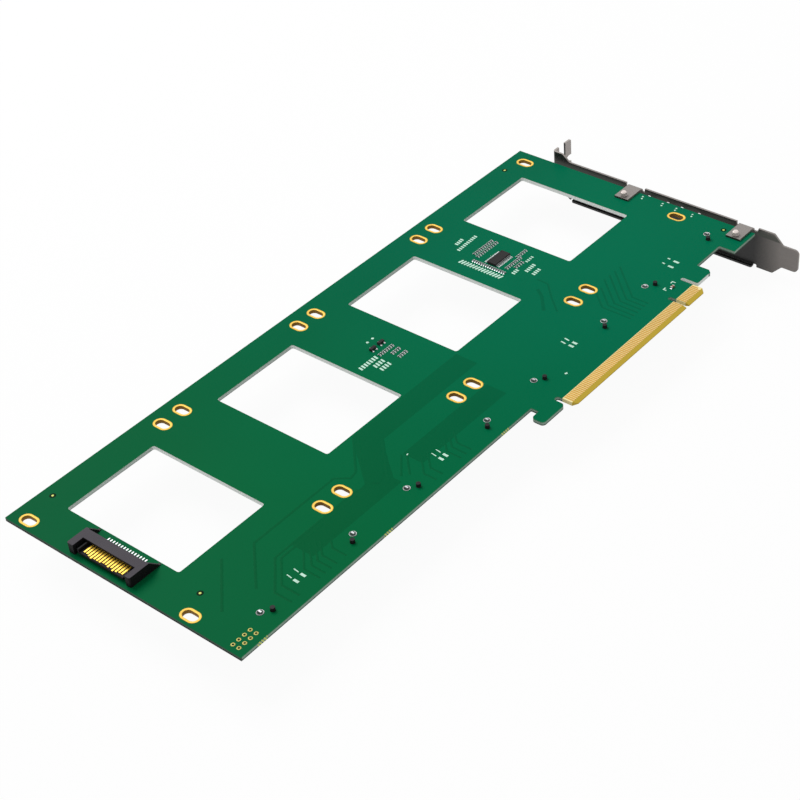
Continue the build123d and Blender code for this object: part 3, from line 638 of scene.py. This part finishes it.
def steel_look(tree, colours):
    """Satin plated sheet: fine rolling lines, and an inner face in painted shade, lighter to the
    tongue.
    """
    place = axes(tree)
    rolled = effect(tree, rolled_lines, {"Colour": colours.steel, "Contrast": 0.07})
    inner = effect(tree, rolled_lines, {"Colour": colours.blade, "Contrast": 0.2})
    # The lip along the bottom lies in the blade's own shade
    shaded = sums("MAXIMUM", effect(tree, facing)["Inward"], zone(place, BLADE_LIP))
    # Towards the tongue the inner face's painted shade gives way to the steel colour, as painted
    # light
    dim = blend(along(place, "X", -6.0, 6.0, 0.0, 0.85), inner["Colour"], rolled["Colour"])
    # Painted light from the board on the foot of the inner face; the top edge takes the inner
    # face's dark colour, and the far hook is painted 1.4 times brighter as a painted highlight
    foot = product(along(place, "Z", 0.4, 1.8, 0.8, 0.0), along(place, "Z", -1.6, -1.2))
    dim = blend(foot, dim, colours.bounce)
    hook = along(place, "X", -98.5, -100.0)
    bright = scaled(rolled["Colour"], sums("MULTIPLY_ADD", hook, 0.4, 1.0))
    top = product(along(place, "Z", 4.6, 4.7, 0.0, 0.85), sums("SUBTRACT", 1.0, hook))
    bright = blend(top, bright, inner["Colour"])
    set_shader(tree, Base_Color=blend(shaded, bright, dim),
               Roughness=spread(rolled["Mask"], 0.34, 0.46),
               Metallic=sums("MULTIPLY_ADD", shaded, -0.35, 0.5),
               Normal=relief(rolled["Mask"], 0.12, 0.01))


def header_contact_look(tree, colours):
    """Gold strips whose tails, behind the rear wall, are tinned."""
    worn = grain(tree, colours.pin_gold, 0.08, 1800.0, 120.0)
    tail = along(axes(tree), "Y", HEADER_REAR - 0.1, HEADER_REAR + 0.1)
    set_shader(tree, Base_Color=blend(tail, worn["Colour"], colours.tin), Metallic=0.4,
               Roughness=spread(worn["Mask"], 0.3, 0.5))


def thread_look(tree, colours):
    """Bright steel with painted shade at the bottom of the thread."""
    worn = grain(tree, colours.screw, 0.1, 2400.0, 300.0)
    dark = shade(colours.screw, 0.05)
    set_shader(tree, Base_Color=blend(depth_of(tree), worn["Colour"], dark), Metallic=0.6,
               Roughness=spread(worn["Mask"], 0.15, 0.3))


def moulded_look(tree, colour, roughness=0.5, contrast=0.16, gloss=0.15):
    """Moulded plastic: fine matt texture with faint flow patches. Its colour is given back."""
    texture = grain(tree, colour, contrast, 3200.0, 140.0)
    set_shader(tree, Base_Color=texture["Colour"], Specular_IOR_Level=gloss,
               Roughness=spread(texture["Mask"], roughness - 0.08, roughness + 0.1),
               Normal=relief(texture["Mask"], 0.3, 0.02))
    return texture["Colour"]


def header_look(tree, colour):
    """Grey rim of an open-topped housing; its walls and inside are painted in shade, nearly black.
    """
    grey = moulded_look(tree, colour, 0.56, 0.1, 0.12)
    top = product(effect(tree, facing)["Level"], along(axes(tree), "Z", 4.5, 4.7))
    # Painted shade: all but the top of the rim takes the grey at 0.09
    set_shader(tree, Base_Color=blend(top, scaled(grey, 0.09), grey))


def ink_look(tree, colours):
    """Printing ink: chalky, slightly uneven in cover."""
    cover = grain(tree, colours.silk, 0.12, 2500.0, 300.0)
    thin = between(cover["Mask"], 0.2, 0.46, 0.45, 0.0)
    set_shader(tree, Base_Color=blend(thin, cover["Colour"], colours.mask),
               Roughness=0.7, Specular_IOR_Level=0.05)


def look(name):
    """Finish of that name, built on its first use."""
    made = bpy.data.materials.get(name)
    if made:
        return made
    made = bpy.data.materials.new(name)
    made.use_nodes = True
    c = bpy.context.scene.card_colours
    # Maker, then its colours and, in its own order, roughness, contrast and the rest
    makers = {
        "lacquer": (lacquer_look, c.mask, c),
        "lacquer_on_copper": (lacquer_look, c.copper, c),
        # A plated finish's second colour is its walls', for most a darker copy of the plate as
        # painted shade
        "slot_gold": (plated_look, c.gold, c.barrel, 0.5, 0.1, 0.15, 0.08, shade(c.gold, 0.55)),
        "header_contact": (header_contact_look, c),
        "solder": (plated_look, c.tin, shade(c.tin, 0.85), 0.3, 0.12),
        "dull_solder": (plated_look, shade(c.tin, 0.62), c.flux, 0.4),
        "finger_gold": (plated_look, c.finger, shade(c.finger, 0.6), 0.4),
        "dull_gold": (plated_look, c.old_gold, c.barrel, 0.5, 0.1, 0.2, 0.1),
        "pale_plate": (plated_look, c.stub, c.old_gold, 0.5, 0.1, 0.1, 0.1),
        "contact_gold": (plated_look, c.pin_gold, c.gold, 0.3),
        "dark_ring": (moulded_look, shade(c.mask, 0.12), 0.6, 0.16, 0.05),
        "flux": (moulded_look, c.flux, 0.4),
        "tin": (plated_look, c.tin, shade(c.tin, 0.5), 0.34, 0.12, 0.35, 0.2),
        "sheet_steel": (steel_look, c),
        "screw_metal": (plated_look, c.screw, shade(c.screw, 0.5), 0.28),
        "thread": (thread_look, c),
        "black_plastic": (moulded_look, c.black_mould, 0.45, 0.2),
        "grey_plastic": (header_look, c.grey_mould),
        "epoxy": (moulded_look, c.epoxy, 0.6, 0.14),
        "film": (moulded_look, c.film, 0.4, 0.2),
        "ceramic": (moulded_look, c.ceramic, 0.5, 0.1),
        "capacitor_case": (moulded_look, c.capacitor, 0.5, 0.14),
        "milky_plastic": (moulded_look, c.milk, 0.3, 0.05, 0.3),
        "ink": (ink_look, c),
    }
    maker, *given = makers[name]
    maker(made.node_tree, *given)
    return made


NODE_LOOKS = {
    "circuit_board": "lacquer", "edge_contacts": "finger_gold", "mounting_bracket": "sheet_steel",
    "bracket_screws": "screw_metal", "drive_receptacle": "black_plastic",
    "receptacle_contacts": "contact_gold", "receptacle_locks": "tin",
    "reservoir_capacitors": "capacitor_case", "power_header_housing": "grey_plastic",
    "power_header_contacts": "header_contact", "power_header_hold_downs": "film",
    "clock_chip_body": "epoxy", "clock_chip_leads": "tin", "transistor_bodies": "epoxy",
    "transistor_legs": "tin", "clock_chip_passives": "film", "control_passives": "film",
    "edge_capacitor": "ceramic", "status_light": "milky_plastic",
}


class CARD_OT_dress_solids(Operator):
    """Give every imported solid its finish."""
    bl_idname = "card.dress_solids"
    bl_label = "Dress the solids"

    def execute(self, context):
        for name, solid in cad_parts.items():
            kind = next(key for key in NODE_LOOKS if name.startswith(key))
            solid.data.materials.clear()
            solid.data.materials.append(look(NODE_LOOKS[kind]))
        return {"FINISHED"}


class CARD_OT_round_edges(Operator):
    """Round the sheared and moulded edges of the larger solids."""
    bl_idname = "card.round_edges"
    bl_label = "Round edges"

    def execute(self, context):
        sizes = context.scene.card_sizes
        mould = sizes.mould_round
        soften("mounting_bracket", sizes.sheet_round, "sheet_steel")
        soften("power_header_housing", mould, "grey_plastic")
        for number in range(1, len(BAYS) + 1):
            soften(f"drive_receptacle_{number}", mould, "black_plastic")
            soften(f"reservoir_capacitors_{number}", mould / 2, "capacitor_case")
        soften("clock_chip_body", mould / 3, "epoxy", 20.0)
        soften("transistor_bodies", mould / 2, "epoxy")
        return {"FINISHED"}


class CARD_OT_slot_plating(Operator):
    """Line the sixteen drive slots with plating and a gold land on both faces."""
    bl_idname = "card.slot_plating"
    bl_label = "Slot plating"

    def execute(self, context):
        sizes = context.scene.card_sizes
        land, skin = sizes.land * 1000, sizes.plating * 1000
        top = BOARD_FACE + skin
        # From the land's rim over the slot's lip, back along the other face, and closed by two
        # points inside the board. The brink colour lies on the land's rim
        half = np.array([(-land, BOARD_FACE), (-land + 0.04, top), (-land + 0.3, top),
                         (-0.05, top), (skin, top - 0.07)])
        section = np.concatenate([half, (half * (1, -1))[::-1],
                                  [(-0.1, 0.1 - BOARD_FACE), (-0.1, BOARD_FACE - 0.1)]])
        brink = np.array([1, 1, 0, 0, 0, 0, 0, 0, 1, 1, 0, 0])
        path = stadium(*SLOT_SIZE)
        places = [(x, bay + side * SLOT_OFFSET) for bay in BAYS for x in SLOT_LINES
                  for side in (-1, 1)]
        make_piece("slot_plating", repeat(carried(path, section, closed=True), places),
                   "slot_gold", values=np.tile(brink, len(path) * len(places)))
        return {"FINISHED"}


class CARD_OT_spare_header(Operator):
    """Pads of the unused two by four header: dull rings round holes filled with painted shade."""
    bl_idname = "card.spare_header"
    bl_label = "Spare header pads"

    def execute(self, context):
        x, y = SPARE_HEADER
        ring = spun([(0.4, 0.01), (0.43, 0.05), (0.7, 0.05), (0.78, 0)], 20)
        # Each hole is a near-black disc of painted shade
        hole = spun([(0.0, 0.01), (0.44, 0.02)], 20)
        places = [(x + SPARE_PITCH * i, y - SPARE_PITCH * k) for i in range(2) for k in range(4)]
        make_piece("spare_header_rings", repeat(ring, places), "dull_gold")
        make_piece("spare_header_holes", repeat(hole, places), "dark_ring", weld=True)
        return {"FINISHED"}


# Places (u, v) of the dots
ALIGNMENT_DOTS = ((232.1, -3.1), (236.3, 72.0), (-21.2, -3.6), (-33.0, 97.6))


class CARD_OT_alignment_dots(Operator):
    """Bare dots in dark rings at the board's corners."""
    bl_idname = "card.alignment_dots"
    bl_label = "Alignment dots"

    def execute(self, context):
        places = [from_corner(*dot) for dot in ALIGNMENT_DOTS]
        ring = spun([(0.0, 0.02), (1.15, 0.02), (1.2, 0)])
        dot = spun([(0.0, 0.055), (0.42, 0.05), (0.48, 0.01)])
        make_piece("alignment_rings", repeat(ring, places), "dark_ring", weld=True)
        make_piece("alignment_dots", repeat(dot, places), "pale_plate", weld=True)
        return {"FINISHED"}


# Rows of plain printed strokes: first place u, v, their reach in u and v, step between them in u
# and v, how many, and how wide each one is
PRINTED_ROWS = (
    (30.9, 13.8, 0.1, 1.7, 1.25, 0.1, 4, 0.75), (26.0, 16.9, 0.1, 1.6, 1.27, 0.06, 10, 0.72),
    (25.1, 44.9, 0.1, 1.3, 1.25, 0.04, 4, 0.68), (35.8, 45.3, 0.1, 1.7, 1.25, 0.07, 3, 0.75),
    (29.2, 48.6, 0.1, 1.7, 1.25, 0.04, 5, 0.75), (30.6, 52.2, 0.1, 1.6, 1.25, 0.05, 4, 0.75),
    (42.1, 24.4, 2.4, -0.7, 0.0, 1.4, 15, 0.8), (110.3, 36.2, 0.3, 2.1, 1.4, 0.0, 7, 0.8),
    (110.3, 39.6, 0.3, 2.1, 1.4, 0.0, 4, 0.8), (110.3, 42.7, 0.3, 2.1, 1.4, 0.0, 4, 0.75),
    (-3.5, 93.2, 0.1, 2.5, 3.95, 0.0, 2, 1.05), (-3.9, 90.2, 0.2, 1.3, 3.8, 0.0, 2, 0.6),
    (61.9, 91.5, 0.1, 2.2, 2.2, 0.0, 2, 1.05), (61.6, 87.8, 0.3, 2.2, 2.3, 0.0, 2, 0.6),
    (139.1, 92.4, 0.1, 2.2, 2.4, 0.0, 2, 1.0), (138.7, 88.9, 0.3, 2.3, 2.4, 0.0, 2, 0.4),
    (211.2, 92.2, 0.1, 2.2, 3.3, 0.0, 2, 1.0), (210.8, 88.9, 0.3, 2.3, 3.3, 0.0, 2, 0.4),
    (-36.3, 56.6, 0.5, 0.6, 1.5, 0.5, 2, 0.7), (-36.3, 66.3, 0.5, 0.6, 1.5, 0.4, 2, 0.7),
    (-36.3, 73.0, 0.5, 0.5, 1.5, 0.3, 2, 0.7), (-36.1, 80.9, 0.5, 0.5, 1.5, 0.4, 2, 0.7),
    (78.1, 100.9, 1.0, -0.4, 0.0, 0.0, 1, 0.8), (146.0, 82.3, 0.8, 0.3, 0.0, 0.0, 1, 0.5),
)
# Broken outline round the edge capacitor, as points (u, v)
CAPACITOR_OUTLINE = (
    ((9.9, 100.6), (8.6, 100.6), (8.6, 101.9)), ((13.6, 100.6), (14.9, 100.6), (14.9, 101.9)),
)
TEST_DOTS = ((102.2, 28.5), (105.2, 28.6))


class CARD_OT_printed_marks(Operator):
    """White ink: plain strokes beside the parts, pad bars and a broken outline at the edge."""
    bl_idname = "card.printed_marks"
    bl_label = "Printed marks"

    def execute(self, context):
        ink, surfaces = context.scene.card_sizes.ink * 1000, []
        for u, v, reach_u, reach_v, step_u, step_v, count, width in PRINTED_ROWS:
            for k in range(count):
                first_u, first_v = u + step_u * k, v + step_v * k
                path = [from_corner(first_u, first_v),
                        from_corner(first_u + reach_u, first_v + reach_v)]
                surfaces.append(carried(path, bead(width, ink, BOARD_FACE)))
        surfaces += [carried([from_corner(*point) for point in points], bead(0.5, ink, BOARD_FACE))
                     for points in CAPACITOR_OUTLINE]
        make_piece("printed_marks", gather(surfaces), "ink")
        pad = spun([(0.0, 0.04), (0.5, 0.035), (0.56, 0)], 20)
        places = [from_corner(*dot) for dot in TEST_DOTS]
        make_piece("test_dots", repeat(pad, places), "ink", weld=True)
        return {"FINISHED"}


# Copper under the lacquer: width, then points u, v. A number left over at the end is the v that the
# run goes straight on to. The wide ones are fields of copper
RUNS = (
    (10.0, 92.0, 65.4, 147.8, 65.4, 163.9, 85.2), (9.4, 158.5, 85.4, 203.0, 85.4),
    (9.0, 100.0, 85.4, 147.0, 85.4),
    (1.0, 150.9, 61.8, 163.6, 74.0, 167.0, 74.7, 170.5, 70.0, 209.5, 70.0, 224.5, 85.3),
    (0.9, 149.3, 62.8, 161.0, 74.5), (1.0, 220.9, 66.4, 238.2, 83.6),
    (0.9, 170.0, 80.4, 210.5, 80.4, 222.3, 91.4, 98.6),
    (0.9, 170.0, 82.2, 209.5, 82.2, 218.6, 90.9, 98.6), (0.8, 199.5, 82.7, 209.1, 91.8, 98.6),
    (0.8, 198.2, 84.1, 206.4, 92.7, 98.6), (0.8, 196.8, 85.5, 203.6, 92.7, 98.6),
    (0.8, 195.9, 86.8, 200.9, 92.3, 98.6), (0.8, 194.1, 90.0, 196.4, 92.7, 98.6),
    (1.2, 145.0, 70.0, 160.5, 85.9), (0.8, 147.7, 80.9, 156.4, 88.2),
    (0.8, 146.8, 82.7, 154.0, 90.0), (0.8, 144.0, 86.8, 150.9, 93.6, 99.0),
    (0.8, 141.4, 87.3, 147.3, 93.6, 99.0), (0.8, 132.7, 87.7, 137.3, 92.7, 99.0),
    (0.8, 130.0, 87.7, 134.5, 92.7, 99.0), (0.8, 127.3, 87.7, 131.7, 92.7, 99.0),
    (1.4, 41.8, 60.5, 44.5, 64.5, 51.8, 70.9),
    (0.8, 36.4, 56.4, 36.8, 61.8, 43.6, 68.6, 49.5, 75.5), (0.8, 31.6, 81.0, 37.7, 88.0, 101.0),
    (0.8, 27.4, 80.2, 35.4, 89.2, 101.0), (0.8, 22.0, 78.0, 33.0, 90.3, 101.0),
    (0.8, 18.5, 78.0, 30.6, 91.4, 101.0), (0.8, 15.0, 78.0, 28.2, 92.5, 101.0),
    (0.8, 11.5, 78.0, 25.8, 93.6, 101.0),
)


class CARD_OT_copper_runs(Operator):
    """Copper that shows as darker lacquer: fields first, then traces a little higher over them."""
    bl_idname = "card.copper_runs"
    bl_label = "Copper runs"

    def execute(self, context):
        rise = context.scene.card_sizes.copper * 1000
        surfaces = []
        for number, (width, *spots) in enumerate(RUNS):
            if len(spots) % 2:
                spots.insert(-1, spots[-3])
            path = [from_corner(u, v) for u, v in zip(spots[::2], spots[1::2])]
            height = rise * (0.4 + 0.6 * number / len(RUNS))
            surfaces.append(carried(path, bead(width, height, BOARD_FACE)))
        make_piece("copper_runs", gather(surfaces), "lacquer_on_copper")
        return {"FINISHED"}


class CARD_OT_underside_marks(Operator):
    """Component side: outlines round the parts there, and traces to the contacts."""
    bl_idname = "card.underside_marks"
    bl_label = "Underside marks"

    def execute(self, context):
        sizes = context.scene.card_sizes
        line = bead(0.2, -sizes.ink * 1000, -BOARD_FACE)
        trace = bead(0.5, -sizes.copper * 1000, -BOARD_FACE)
        boxes, traces = [], []
        for bay in BAYS:
            middle = bay + RECEPTACLE_SHIFT
            boxes.append((*RECEPTACLE_SIDES, middle - RECEPTACLE_REACH, middle + RECEPTACLE_REACH))
            for side in (-1, 1):
                y = middle + side * CAPACITOR_OFFSET
                boxes.append((*CAPACITOR_SIDES, y - 2.4, y + 2.4))
            # Seven pairs run behind each receptacle and bend towards the contacts
            for k in range(7):
                start = middle - 13.2 + 4.4 * k
                inward = start + np.sign(-30.0 - start) * 4.0
                path = [(-31.5, start), (-36.0, start), (-40.0, inward), (-46.0 - 0.9 * k, inward)]
                traces.append(carried(path, trace))
        boxes += [(x - 1.8, x + 1.8, *LIGHT_SIDES) for x in LIGHT_LINES]
        marks = [carried(box_path(*box), line, closed=True) for box in boxes]
        make_piece("underside_marks", gather(marks), "ink")
        make_piece("underside_runs", gather(traces), "lacquer_on_copper")
        return {"FINISHED"}


class CARD_OT_part_ends(Operator):
    """Tinned ends and solder of the chip parts."""
    bl_idname = "card.part_ends"
    bl_label = "Chip part ends"

    def execute(self, context):
        reach = context.scene.card_sizes.cap * 1000
        places, turns = [], []
        for (x, y), dx, dy, count, flat in CHIP_ROWS:
            for i in range(count):
                for turn in (0, pi):
                    places.append((x + dx * i, y + dy * i))
                    turns.append(turn if flat else turn + pi / 2)
        make_piece("chip_part_ends", repeat(end_cap(*SMALL_CHIP, reach), places, turns), "solder")
        place, size = EDGE_CAPACITOR
        ends = repeat(end_cap(*size, 0.38), [place] * 2, [pi / 2, -pi / 2])
        make_piece("edge_capacitor_ends", ends, "tin")
        return {"FINISHED"}


class CARD_OT_screw_threads(Operator):
    """Thread on the screw ends that stand out of the clips.

    The radius at turn a and height z is the root's plus the depth times a ridge of the phase
    z / pitch - a / one turn, which is one at the crest and falls off evenly on both sides.
    """
    bl_idname = "card.screw_threads"
    bl_label = "Screw threads"

    def execute(self, context):
        sizes = context.scene.card_sizes
        pitch, depth = sizes.thread_pitch * 1000, sizes.thread_depth * 1000
        a, end = turns_of(40), CLIP_FACE + SCREW_STAND_OUT
        z = np.linspace(CLIP_FACE, end, 34)
        phase = np.mod(z / pitch - a / (2 * pi), 1.0)
        ridge = 1 - np.abs(2 * phase - 1)
        fade = np.clip((end - z) / 0.3, 0, 1)
        thread = sleeve(a, SCREW_RADIUS + depth * ridge * fade, z)
        # Painted shade in the thread's roots: one at the root, nothing at the crest and where the
        # thread fades out
        dark = np.tile(((1 - ridge) ** 0.7 * fade).reshape(-1), len(SCREW_PLACES))
        make_piece("screw_threads", repeat(thread, SCREW_PLACES), "thread",
                   smooth=60.0, values=dark)
        return {"FINISHED"}


class CARD_OT_lock_solder(Operator):
    """Soldered board locks: a raised ring round each prong with a dull hollow inside it."""
    bl_idname = "card.lock_solder"
    bl_label = "Board lock solder"

    def execute(self, context):
        ring = spun([(1.36, 0), (1.34, 0.08), (1.24, 0.15), (1.12, 0.12), (1.04, 0.03)], 20)
        hollow = spun([(1.1, 0.08), (0.8, 0.04), (0.0, 0.04)], 20)
        places = [(LOCK_LINE, bay + offset) for bay in BAYS for offset in LOCK_OFFSETS]
        make_piece("lock_solder", repeat(ring, places), "dull_solder")
        make_piece("lock_hollows", repeat(hollow, places), "flux", weld=True)
        return {"FINISHED"}


class CARD_OT_header_solder(Operator):
    """Solder round the feet of the power header's tails."""
    bl_idname = "card.header_solder"
    bl_label = "Header solder"

    def execute(self, context):
        places = [(HEADER_FIRST + HEADER_PITCH * i, HEADER_TAILS) for i in range(HEADER_COUNT)]
        make_piece("header_solder", repeat(mound(0.62, 1.5, 0.16), places), "tin",
                   weld=True)
        return {"FINISHED"}


class CARD_OT_leg_solder(Operator):
    """Bright solder at the transistors' feet and along the clock chip's leads."""
    bl_idname = "card.leg_solder"
    bl_label = "Leg solder"

    def execute(self, context):
        legs = [(x + dx, y + dy) for x, y in TRANSISTORS for dx, dy in TRANSISTOR_LEGS]
        make_piece("transistor_solder", repeat(mound(0.95, 0.8, 0.3), legs), "solder",
                   weld=True)
        feet = [(CHIP[0] + side * LEAD_REACH, CHIP[1] + LEAD_PITCH * (k - 6.5))
                for side in (-1, 1) for k in range(14)]
        make_piece("chip_lead_solder", repeat(mound(0.9, 0.42, 0.14), feet), "tin",
                   weld=True)
        return {"FINISHED"}


# stage

def seen(tree):
    """Mask of what the camera sees, also in a mirror or through glass."""
    paths = put(tree, "LightPath").outputs
    mirrored = sums("MAXIMUM", paths["Is Glossy Ray"], paths["Is Transmission Ray"])
    return sums("MAXIMUM", paths["Is Camera Ray"], mirrored)


def bare_tree(owner):
    """Node tree of a material or world, emptied."""
    owner.use_nodes = True
    owner.node_tree.nodes.clear()
    return owner.node_tree


class CARD_OT_stage(Operator):
    """Camera, pale floor, even sky and one large soft lamp."""
    bl_idname = "card.stage"
    bl_label = "Stage"

    def execute(self, context):
        stage, scene = context.scene.card_stage, context.scene
        camera = bpy.data.cameras.new("camera")
        camera.lens, camera.sensor_width = stage.lens, 36
        camera.shift_x, camera.shift_y = stage.shift
        camera.clip_start, camera.clip_end = 0.01, 20
        scene.camera = add_object("camera", camera)
        scene.camera.location, scene.camera.rotation_euler = stage.place, stage.turn

        ground = bpy.data.materials.new("floor")
        tree = bare_tree(ground)
        tone = blend(noise(coordinate(tree), 3.0), shade(stage.floor, 0.97), stage.floor)
        matt = put(tree, "BsdfDiffuse", {"Color": tone})
        glow = put(tree, "Emission", {"Color": (1, 1, 1), "Strength": 1.0})
        white = product(seen(tree), stage.floor_glow)
        mixed = put(tree, "MixShader", {0: white, 1: matt.outputs[0], 2: glow.outputs[0]})
        put(tree, "OutputMaterial", {0: mixed.outputs[0]})
        steps = np.linspace(-4, 4, 9)
        x, y = np.meshgrid(steps, steps, indexing="ij")
        points = np.stack([x, y, np.full_like(x, cad_low[2] - 0.00005)], -1).reshape(-1, 3)
        mesh = bpy.data.meshes.new("floor")
        mesh.from_pydata(points.tolist(), [], grid(9, 9))
        mesh.materials.append(ground)
        add_object("floor", mesh)

        scene.world = bpy.data.worlds.new("sky")
        tree = bare_tree(scene.world)
        strength = sums("MULTIPLY_ADD", seen(tree), 1.0 - stage.sky, stage.sky)
        sky = put(tree, "Background", {0: (1, 1, 1), 1: strength})
        put(tree, "OutputWorld", {0: sky.outputs[0]})

        lamp = bpy.data.lights.new("key_lamp", "AREA")
        lamp.energy, lamp.size = stage.key, stage.key_size
        hung = add_object("key_lamp", lamp)
        hung.location = stage.key_place
        aim = (cad_low + cad_high) / 2 - hung.location
        hung.rotation_euler = aim.to_track_quat("-Z", "Y").to_euler()
        scene.view_settings.view_transform = "Standard"
        return {"FINISHED"}


class CARD_PT_panel(Panel):
    """Lists the card's pieces and their settings."""
    bl_idname = "CARD_PT_panel"
    bl_label = "Drive adapter card"
    bl_space_type = "VIEW_3D"
    bl_region_type = "UI"
    bl_category = "Card"

    def draw(self, context):
        for step in STEPS:
            self.layout.operator(step.bl_idname)
        for hung in GROUPS:
            group, box = getattr(context.scene, hung), self.layout.box()
            for name in group.bl_rna.properties.keys():
                if name not in ("rna_type", "name"):
                    box.prop(group, name)


STEPS = (
    CARD_OT_stage, CARD_OT_dress_solids, CARD_OT_round_edges, CARD_OT_slot_plating,
    CARD_OT_spare_header, CARD_OT_alignment_dots, CARD_OT_printed_marks, CARD_OT_copper_runs,
    CARD_OT_underside_marks, CARD_OT_part_ends, CARD_OT_screw_threads, CARD_OT_lock_solder,
    CARD_OT_header_solder, CARD_OT_leg_solder,
)
GROUPS = {"card_colours": CardColours, "card_sizes": CardSizes, "card_stage": CardStage}


def register():
    """Register the classes and hang the settings on the scene."""
    for kind in (*GROUPS.values(), *STEPS, CARD_PT_panel):
        bpy.utils.register_class(kind)
    for name, kind in GROUPS.items():
        setattr(bpy.types.Scene, name, bpy.props.PointerProperty(type=kind))


def unregister():
    """Take the settings and classes away again."""
    for name in GROUPS:
        delattr(bpy.types.Scene, name)
    for kind in (CARD_PT_panel, *reversed(STEPS), *reversed(GROUPS.values())):
        bpy.utils.unregister_class(kind)


def main():
    """Dress the card from first to last."""
    register()
    for step in STEPS:
        getattr(bpy.ops.card, step.bl_idname.split(".")[1])()


if __name__ == "__main__":
    main()
